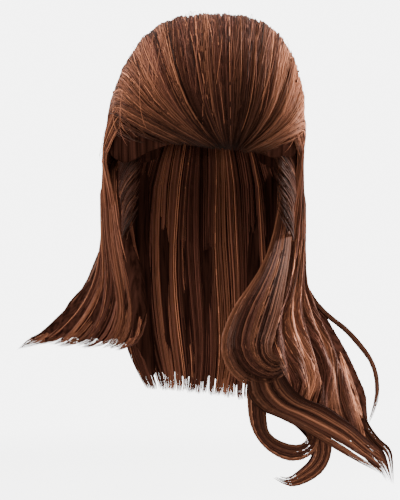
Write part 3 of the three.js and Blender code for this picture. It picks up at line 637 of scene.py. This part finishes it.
# Ripples are shares of the band's breadth, and roughness and depth are shares of half its
# thickness. Waves are counts over its length, bends are radians over it, and a mix puts
# neighbouring wisps out of step
WISPS_A_LOCK = 3
FEWEST_WISPS = 3
RAGGED_BY_WISP = 0.5
RAGGED_MIX = 37
CLOSING_FROM = 0.45  # share of the way down where wisps begin to close
CLOSING_POWER = 1.6
SWAY_POWER = 1.2
SWAY_LAG = 0.7
RIPPLE = 0.008
RIPPLE_BENDS = 7
RIPPLE_MIX = 25
DRIFT_LIMIT = 0.6
OUTER_FACE_SHARE = 0.68
FACE_DEPTH = 0.35
CLOSED_THINNING = 0.4
BAND_ROUGHNESS = 0.10
BAND_ROUGH_WAVES = 1.7
BAND_ROUGH_MIX = 3.1


def band_strands(name, band, count, points, rng, seed, streaks, wave=0.0, waves=2.4, spread=0.05,
                 tuck=0.7, ragged=0.12, late=0.0, drift=0.0, root=0.3, tip=1.0):
    """Strands along a band that wave together and close into wisps at their ends. Spread is how
    far they reach past its edges, drift how far they run across it, tuck how closely the wisps
    close, late how late the last strand begins, and ragged how much sooner the first one ends."""
    share = rng.uniform(-spread - drift, 1 + spread, (count, 1))
    wisps = max(FEWEST_WISPS, (band.locks - 1) * WISPS_A_LOCK)
    wisp = np.clip(np.round(share * wisps) / wisps, 0, 1)
    length = 1 - ragged * rng.random((count, 1))
    length = length - RAGGED_BY_WISP * ragged * np.sin(RAGGED_MIX * wisp) ** 2
    start = late * rng.random((count, 1)) ** 2
    turn = start + (length - start) * np.linspace(0, 1, points)[None]
    closed = np.clip((turn - CLOSING_FROM) / (1 - CLOSING_FROM), 0, 1)
    closing = tuck * closed**CLOSING_POWER
    sway = wave * turn**SWAY_POWER * np.sin(2 * np.pi * (waves * turn + SWAY_LAG * share))
    ripple = RIPPLE * np.sin(RIPPLE_BENDS * turn + RIPPLE_MIX * wisp)
    path_share = share + (wisp - share) * closing + sway + ripple
    path_share = np.minimum(path_share + drift * turn, 1 + spread + DRIFT_LIMIT * drift)
    face = np.where(rng.random((count, 1)) < OUTER_FACE_SHARE, 1, -1)
    layer = face * (1 - FACE_DEPTH * rng.random((count, 1)) ** 2) * (1 - CLOSED_THINNING * closing)
    rough_phase = BAND_ROUGH_WAVES * turn + BAND_ROUGH_MIX * wisp
    relief = BAND_ROUGHNESS * np.sin(2 * np.pi * rough_phase)
    paths, outward = band.places(turn, path_share, layer + relief)
    place = np.clip(share[:, 0], 0, 1)
    widths = strand_widths(count, rng)
    tone = strand_tones(place, rng, seed)
    copper = streak_copper(place, streaks, rng, seed)
    return strand_mesh(name, paths, outward, widths, tone, copper, root, tip)


# The hair under the strands, in painted shade


def under_layer(node, inset, voxel, rounds, raised):
    """A smooth form just inside a node's surface, which closes the view between strands. A fall's
    is raised, to end above the strands' tips, and the crown's is lowered to meet the falls'."""
    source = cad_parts[node]
    bpy.ops.object.select_all(action="DESELECT")
    mesh = source.data.copy()
    mesh.name = node + "_under"
    piece = bpy.data.objects.new(node + "_under", mesh)
    bpy.context.scene.collection.objects.link(piece)
    mesh.materials.clear()
    bpy.context.view_layer.objects.active = piece
    piece.select_set(True)
    bpy.ops.object.mode_set(mode="EDIT")
    bpy.ops.mesh.select_all(action="SELECT")
    bpy.ops.mesh.remove_doubles(threshold=1e-6)
    bpy.ops.object.mode_set(mode="OBJECT")
    remesh = piece.modifiers.new("remesh", "REMESH")
    remesh.mode = "VOXEL"
    remesh.voxel_size = voxel
    bpy.ops.object.modifier_apply(modifier="remesh")
    smooth = piece.modifiers.new("smooth", "SMOOTH")
    smooth.iterations = rounds
    bpy.ops.object.modifier_apply(modifier="smooth")
    shrink = piece.modifiers.new("shrink", "DISPLACE")
    shrink.strength = -inset
    shrink.mid_level = 0
    bpy.ops.object.modifier_apply(modifier="shrink")
    mesh.transform(Matrix.Translation((0, 0, raised)))
    bpy.ops.object.shade_smooth()
    return piece


# Materials

# A place along the strand, or in the pattern, and the colour there
BROWN_ALONG = [(0.0, (0.004, 0.0014, 0.0009)), (0.14, (0.009, 0.0032, 0.0021)),
               (0.36, (0.029, 0.0098, 0.0062)), (1.0, (0.036, 0.0125, 0.0080))]
BROWN_TONES = [(0.15, (0.25, 0.24, 0.23)), (0.5, (1.0, 1.0, 1.0)), (0.85, (2.6, 2.6, 2.6))]
COPPER_ALONG = [(0.0, (0.012, 0.0045, 0.0026)), (0.16, (0.10, 0.038, 0.020)),
                (0.40, (0.37, 0.137, 0.068))]
SHEEN_TINT = (1.0, 0.62, 0.42, 1)
# Painted shade: the very dark browns of the under-layers, which stand for the shaded hair between
# the strands
SHADOW_BROWNS = [(0.35, (0.004, 0.0014, 0.0009)), (0.65, (0.016, 0.0057, 0.0037))]
NET_BROWNS = [(0.0, (0.070, 0.042, 0.028)), (0.12, (0.045, 0.027, 0.018)),
              (0.22, (0.012, 0.007, 0.005))]
ENAMEL_BROWNS = [(0.4, (0.030, 0.019, 0.014)), (0.75, (0.060, 0.042, 0.032))]


def color_ramp(tree, factor, stops):
    node = tree.nodes.new("ShaderNodeValToRGB")
    while len(node.color_ramp.elements) < len(stops):
        node.color_ramp.elements.new(0.5)
    for element, (place, color) in zip(node.color_ramp.elements, stops):
        element.position = place
        element.color = (*color, 1)
    tree.links.new(factor, node.inputs["Fac"])
    return node.outputs["Color"]


def mixed_color(tree, kind, factor, first, second):
    """A colour mix of two sockets or colours by a socket or a number."""
    node = tree.nodes.new("ShaderNodeMix")
    node.data_type = "RGBA"
    node.blend_type = kind
    sockets = {"Factor": factor, "A": first, "B": second}
    for socket in node.inputs:
        if not socket.enabled or socket.name not in sockets:
            continue
        value = sockets[socket.name]
        if isinstance(value, (float, tuple)):
            socket.default_value = value
        else:
            tree.links.new(value, socket)
    return [output for output in node.outputs if output.enabled][0]


def new_material(name, roughness, specular=0.5, metallic=0.0):
    material = bpy.data.materials.new(name)
    material.use_nodes = True
    shader = material.node_tree.nodes["Principled BSDF"]
    shader.inputs["Roughness"].default_value = roughness
    shader.inputs["Specular IOR Level"].default_value = specular
    shader.inputs["Metallic"].default_value = metallic
    return material, material.node_tree, shader


def hair_material():
    """Brown hair from dark roots to lighter ends, with copper strands. On the crown the tone and
    the copper also carry painted highlight at the sides and the front.
    """
    material, tree, shader = new_material("hair_fibre", roughness=0.5, specular=0.02)
    shader.inputs["Specular Tint"].default_value = SHEEN_TINT

    def attribute(name):
        node = tree.nodes.new("ShaderNodeAttribute")
        node.attribute_name = name
        return node.outputs["Fac"]

    brown = color_ramp(tree, attribute("along"), BROWN_ALONG)
    tones = color_ramp(tree, attribute("tone"), BROWN_TONES)
    toned = mixed_color(tree, "MULTIPLY", 1.0, brown, tones)
    light = color_ramp(tree, attribute("along"), COPPER_ALONG)
    copper = mixed_color(tree, "MIX", attribute("copper"), toned, light)
    tree.links.new(copper, shader.inputs["Base Color"])
    return material


def under_shade_material(name, grain):
    """Painted shade between the strands: hair colour much darker than the strands', which stands
    for the shaded hair beneath them, streaked along its flow. Grain is the streaks' count a metre."""
    material, tree, shader = new_material(name, roughness=0.9, specular=0.0)
    place = tree.nodes.new("ShaderNodeTexCoord")
    stretch = tree.nodes.new("ShaderNodeMapping")
    stretch.inputs["Scale"].default_value = grain
    noise = tree.nodes.new("ShaderNodeTexNoise")
    noise.inputs["Scale"].default_value = 1.0
    noise.inputs["Detail"].default_value = 3.0
    tree.links.new(place.outputs["Object"], stretch.inputs["Vector"])
    tree.links.new(stretch.outputs["Vector"], noise.inputs["Vector"])
    streaks = color_ramp(tree, noise.outputs["Fac"], SHADOW_BROWNS)
    tree.links.new(streaks, shader.inputs["Base Color"])
    return material


def net_material():
    """Dark brown net: a fine weave of threads with darker holes."""
    material, tree, shader = new_material("base_net", roughness=0.85, specular=0.2)
    place = tree.nodes.new("ShaderNodeTexCoord")
    weave = tree.nodes.new("ShaderNodeTexVoronoi")
    weave.feature = "DISTANCE_TO_EDGE"
    weave.inputs["Scale"].default_value = 420
    tree.links.new(place.outputs["Object"], weave.inputs["Vector"])
    color = color_ramp(tree, weave.outputs["Distance"], NET_BROWNS)
    tree.links.new(color, shader.inputs["Base Color"])
    bump = tree.nodes.new("ShaderNodeBump")
    bump.inputs["Strength"].default_value = 0.5
    bump.inputs["Distance"].default_value = 0.0006
    bump.invert = True
    tree.links.new(weave.outputs["Distance"], bump.inputs["Height"])
    tree.links.new(bump.outputs["Normal"], shader.inputs["Normal"])
    return material


def enamel_material():
    """Dark brown enamel on spring steel, a little worn."""
    material, tree, shader = new_material("clip_enamel", roughness=0.3, metallic=0.2)
    place = tree.nodes.new("ShaderNodeTexCoord")
    wear = tree.nodes.new("ShaderNodeTexNoise")
    wear.inputs["Scale"].default_value = 350
    wear.inputs["Detail"].default_value = 4.0
    tree.links.new(place.outputs["Object"], wear.inputs["Vector"])
    color = color_ramp(tree, wear.outputs["Fac"], ENAMEL_BROWNS)
    tree.links.new(color, shader.inputs["Base Color"])
    gloss = tree.nodes.new("ShaderNodeMapRange")
    gloss.inputs["To Min"].default_value = 0.22
    gloss.inputs["To Max"].default_value = 0.45
    tree.links.new(wear.outputs["Fac"], gloss.inputs["Value"])
    tree.links.new(gloss.outputs["Result"], shader.inputs["Roughness"])
    return material


# Camera

# The part's origin is at ORIGIN_X, ORIGIN_Y in the picture, in pixels from its top left
MM_PER_PIXEL = 0.95
PHOTO_WIDTH, PHOTO_HEIGHT = 400, 500
ORIGIN_X, ORIGIN_Y = 208, 92
CAMERA_DISTANCE = 3.6
FOCUS_PLANE = -0.03
SENSOR_WIDTH = 36
CAMERA_RANGE = 100


def make_camera():
    """A level camera in front of the hair that frames it as the picture does."""
    data = bpy.data.cameras.new("camera")
    camera = bpy.data.objects.new("camera", data)
    bpy.context.scene.collection.objects.link(camera)
    middle_x = (PHOTO_WIDTH / 2 - ORIGIN_X) * MM_PER_PIXEL / 1000
    middle_z = (ORIGIN_Y - PHOTO_HEIGHT / 2) * MM_PER_PIXEL / 1000
    camera.location = (middle_x, FOCUS_PLANE - CAMERA_DISTANCE, middle_z)
    camera.rotation_euler = (math.pi / 2, 0, 0)
    data.sensor_width = SENSOR_WIDTH
    data.lens = SENSOR_WIDTH * CAMERA_DISTANCE / (PHOTO_HEIGHT * MM_PER_PIXEL / 1000)
    data.clip_end = CAMERA_RANGE
    bpy.context.scene.camera = camera


# Lights

# Name, place, diameter of the disk, power in watts
LIGHTS = [
    ("front_light", (-0.4, -2.4, 1.1), 1.2, 80),
    ("rim_light_left", (1.8, 0.5, 0.7), 0.7, 320),
    ("rim_light_right", (-1.8, 0.3, 0.6), 0.7, 100),
    ("top_light", (0.1, 0.2, 1.9), 0.9, 70),
]
LIGHT_TARGET = (0, 0, -0.1)
ROOM_STRENGTH = 1.5
GROUND_STRENGTH = 6.0
WHITE = (1, 1, 1, 1)


def soft_light(name, place, diameter, power):
    """A round soft light that is aimed at the middle of the hair."""
    data = bpy.data.lights.new(name, "AREA")
    data.shape = "DISK"
    data.size = diameter
    data.energy = power
    light = bpy.data.objects.new(name, data)
    bpy.context.scene.collection.objects.link(light)
    light.location = place
    aim = np.array(LIGHT_TARGET) - np.array(place)
    flat = math.hypot(aim[0], aim[1])
    light.rotation_euler = (math.atan2(flat, -aim[2]), 0, math.atan2(-aim[0], aim[1]))


def make_lights():
    for name, place, diameter, power in LIGHTS:
        soft_light(name, place, diameter, power)


def make_world():
    """A pale room light, which the camera sees as a white ground."""
    world = bpy.data.worlds.new("studio")
    world.use_nodes = True
    tree = world.node_tree
    room = tree.nodes["Background"]
    room.inputs["Color"].default_value = WHITE
    room.inputs["Strength"].default_value = ROOM_STRENGTH
    ground = tree.nodes.new("ShaderNodeBackground")
    ground.inputs["Color"].default_value = WHITE
    ground.inputs["Strength"].default_value = GROUND_STRENGTH
    ray = tree.nodes.new("ShaderNodeLightPath")
    blend = tree.nodes.new("ShaderNodeMixShader")
    tree.links.new(ray.outputs["Is Camera Ray"], blend.inputs["Fac"])
    tree.links.new(room.outputs["Background"], blend.inputs[1])
    tree.links.new(ground.outputs["Background"], blend.inputs[2])
    tree.links.new(blend.outputs["Shader"], tree.nodes["World Output"].inputs["Surface"])
    bpy.context.scene.world = world


# Floor

FLOOR_RADIUS = 2.5
FLOOR_GAP = 0.03
FLOOR_FADE_FROM = 0.2
FLOOR_FADE_TO = 2.0
FLOOR_COLOR = (0.8, 0.8, 0.79, 1)


def make_floor():
    """A pale round floor below the hair, which fades out into the ground."""
    lowest = cad_box[0][2]
    bpy.ops.mesh.primitive_circle_add(vertices=96, radius=FLOOR_RADIUS, fill_type="NGON",
                                      location=(0, 0, lowest - FLOOR_GAP))
    floor = bpy.context.object
    floor.name = "floor"
    bpy.ops.object.transform_apply(location=True)
    floor.data.materials.append(floor_material())


def floor_material():
    """Pale paint that turns clear away from the middle."""
    material, tree, shader = new_material("floor_paint", roughness=0.7)
    shader.inputs["Base Color"].default_value = FLOOR_COLOR
    clear = tree.nodes.new("ShaderNodeBsdfTransparent")
    place = tree.nodes.new("ShaderNodeTexCoord")
    reach = tree.nodes.new("ShaderNodeVectorMath")
    reach.operation = "LENGTH"
    fade = tree.nodes.new("ShaderNodeMapRange")
    fade.interpolation_type = "SMOOTHERSTEP"
    fade.inputs["From Min"].default_value = FLOOR_FADE_FROM
    fade.inputs["From Max"].default_value = FLOOR_FADE_TO
    blend = tree.nodes.new("ShaderNodeMixShader")
    tree.links.new(place.outputs["Object"], reach.inputs[0])
    tree.links.new(reach.outputs["Value"], fade.inputs["Value"])
    tree.links.new(fade.outputs["Result"], blend.inputs["Fac"])
    tree.links.new(shader.outputs["BSDF"], blend.inputs[1])
    tree.links.new(clear.outputs["BSDF"], blend.inputs[2])
    tree.links.new(blend.outputs["Shader"], tree.nodes["Material Output"].inputs["Surface"])
    return material


# The hair put on the part

# Copper streaks: place, breadth, strength
FALL_RIGHT_STREAKS = [(0.1, 0.1, 0.3), (0.55, 0.08, 0.4), (0.95, 0.1, 0.4)]
FALL_LEFT_STREAKS = [(0.05, 0.06, 0.3), (0.4, 0.08, 0.5), (0.72, 0.06, 0.5), (1.0, 0.08, 1.0)]
FALL_BACK_STREAKS = [(0.2, 0.06, 0.4), (0.62, 0.06, 0.4)]
RIM_STREAKS = [(0.0, 0.10, 0.8), (0.55, 0.06, 0.4), (0.95, 0.08, 0.4)]
CURL_STREAKS = [(0.08, 0.10, 0.5), (0.45, 0.08, 0.8), (0.80, 0.08, 0.6)]
TEMPLE_STREAKS = [(0.5, 0.3, 0.1)]


def add_hair(piece, node, material):
    """Puts the material on a piece of hair, which stands in the node's place."""
    piece.data.materials.append(material)
    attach(piece, "root")
    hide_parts(node)


def lay_crown_hair(rng, fibre):
    for name, count, depths, first in [("crown_front_strands", 1500, (0.0, 0.5), 0.0),
                                       ("crown_under_strands", 520, (0.5, 1.0), 0.0),
                                       ("crown_over_strands", 700, (0.0, 1.0), 0.45)]:
        add_hair(crown_strands(name, count, rng, depths, first), "crown_pouf", fibre)
    add_hair(flyaways("crown_flyaways", count=110, rng=rng), "crown_pouf", fibre)


def lay_fall_hair(rng, fibre):
    """The falls, and the strands from the crown that hide the seams above them."""
    right = fall_band(RIGHT_FALL, side=-1, drop=RIGHT_DROP, flare=RIGHT_FLARE, locks=6,
                      outside=(-1, 0, 0), bulge=SIDE_BULGE)
    left = fall_band(LEFT_FALL, side=1, drop=LEFT_DROP, flare=LEFT_FLARE, locks=7,
                     outside=(1, 0, 0), bulge=SIDE_BULGE)
    back = fall_band(BACK_FALL, side=1, drop=BACK_DROP, flare=0, locks=8,
                     outside=(0, 1, 0), bulge=BACK_BULGE)
    strands = band_strands("fall_right_strands", right, count=1270, points=14, rng=rng,
                           seed=FALL_RIGHT_SEED, streaks=FALL_RIGHT_STREAKS, wave=0.006,
                           waves=1.2, tuck=0.4, ragged=0.08, tip=0.42)
    add_hair(strands, "fall_right", fibre)
    strands = band_strands("fall_left_strands", left, count=1480, points=16, rng=rng,
                           seed=FALL_LEFT_SEED, streaks=FALL_LEFT_STREAKS, wave=0.10,
                           waves=2.8, tuck=0.45, root=0.2)
    add_hair(strands, "fall_left", fibre)
    strands = band_strands("fall_back_strands", back, count=1400, points=12, rng=rng,
                           seed=FALL_BACK_SEED, streaks=FALL_BACK_STREAKS, wave=0.03,
                           waves=1.5, spread=0.10, ragged=0.06, tuck=0.05, root=0.4, tip=0.6)
    add_hair(strands, "fall_back", fibre)
    strands = side_drape("drape_right", right, side=-1, count=380, rng=rng, seed=DRAPE_RIGHT_SEED)
    add_hair(strands, "crown_pouf", fibre)
    strands = side_drape("drape_left", left, side=1, count=380, rng=rng, seed=DRAPE_LEFT_SEED)
    add_hair(strands, "crown_pouf", fibre)
    strands = back_drape("drape_back", back, count=420, rng=rng, seed=DRAPE_BACK_SEED)
    add_hair(strands, "crown_pouf", fibre)


def lay_curl_hair(rng, fibre):
    def left(rows):
        return curl_band(rows, 1, LEFT_DROP)

    def right(rows):
        return curl_band(rows, -1, RIGHT_DROP)

    rim, curl = RIM_STREAKS, CURL_STREAKS
    for name, node, band, count, spread, root, tip, streaks in [
            ("inner_strands", "curl_inner", left(INNER_CURL), 520, 0.10, 0.26, 0.15, rim),
            ("wave_strands", "fall_left", left(CHEST_WAVE), 420, 0.12, 0.10, 0.24, curl),
            ("loop_strands", "curl_loop", left(LOOP_CURL), 200, 0.12, 0.12, 0.22, rim),
            ("tail_strands", "curl_tail", left(TAIL_CURL), 240, 0.12, 0.12, 0.22, curl),
            ("outer_strands", "curl_outer", left(OUTER_CURL), 130, 0.12, 0.12, 0.22, curl),
            ("loose_strands", "loose_lock", left(LOOSE_LOCK), 50, -0.10, 0.16, 0.22, curl),
            ("flick_strands", "flick_right", right(RIGHT_FLICK), 150, 0.10, 0.16, 0.24, curl)]:
        strands = band_strands(name, band, count, points=15, rng=rng, seed=CURL_SEED,
                               streaks=streaks, wave=0.05, waves=1.3, spread=spread, tuck=0.3,
                               ragged=0.18, root=root, tip=tip)
        add_hair(strands, node, fibre)


def lay_temple_hair(rng, fibre):
    for name, side in [("temple_sweep_left", 1), ("temple_sweep_right", -1)]:
        strands = band_strands(name + "_strands", sweep_band(side), count=450, points=8, rng=rng,
                               seed=TEMPLE_SEED, streaks=TEMPLE_STREAKS, spread=0.02, tuck=0.0,
                               ragged=0.02, late=0.5, drift=0.9, root=0.10, tip=0.32)
        add_hair(strands, name, fibre)


def lay_under_layers():
    # Both under-layer materials are painted shade
    over = under_shade_material("crown_shadow", (420, 6, 6))
    down = under_shade_material("fall_shadow", (300, 300, 6))
    for node, inset, voxel, rounds, raised, material in [
            ("crown_pouf", 0.0040, 0.004, 9, -0.002, over),
            ("fall_right", 0.0035, 0.003, 6, 0.003, down),
            ("fall_left", 0.0030, 0.003, 5, 0.003, down),
            ("fall_back", 0.0030, 0.003, 4, 0.008, down)]:
        add_hair(under_layer(node, inset, voxel, rounds, raised), node, material)


def paint_base():
    net, enamel = net_material(), enamel_material()
    for node in ["base_cap", "clip_front", "clip_back", "clip_left", "clip_right"]:
        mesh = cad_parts[node].data
        mesh.materials.clear()
        mesh.materials.append(net if node == "base_cap" else enamel)


make_camera()
make_lights()
make_world()
make_floor()
strand_random = np.random.default_rng(SEED)
hair_fibre = hair_material()
lay_crown_hair(strand_random, hair_fibre)
lay_fall_hair(strand_random, hair_fibre)
lay_curl_hair(strand_random, hair_fibre)
lay_temple_hair(strand_random, hair_fibre)
lay_under_layers()
paint_base()
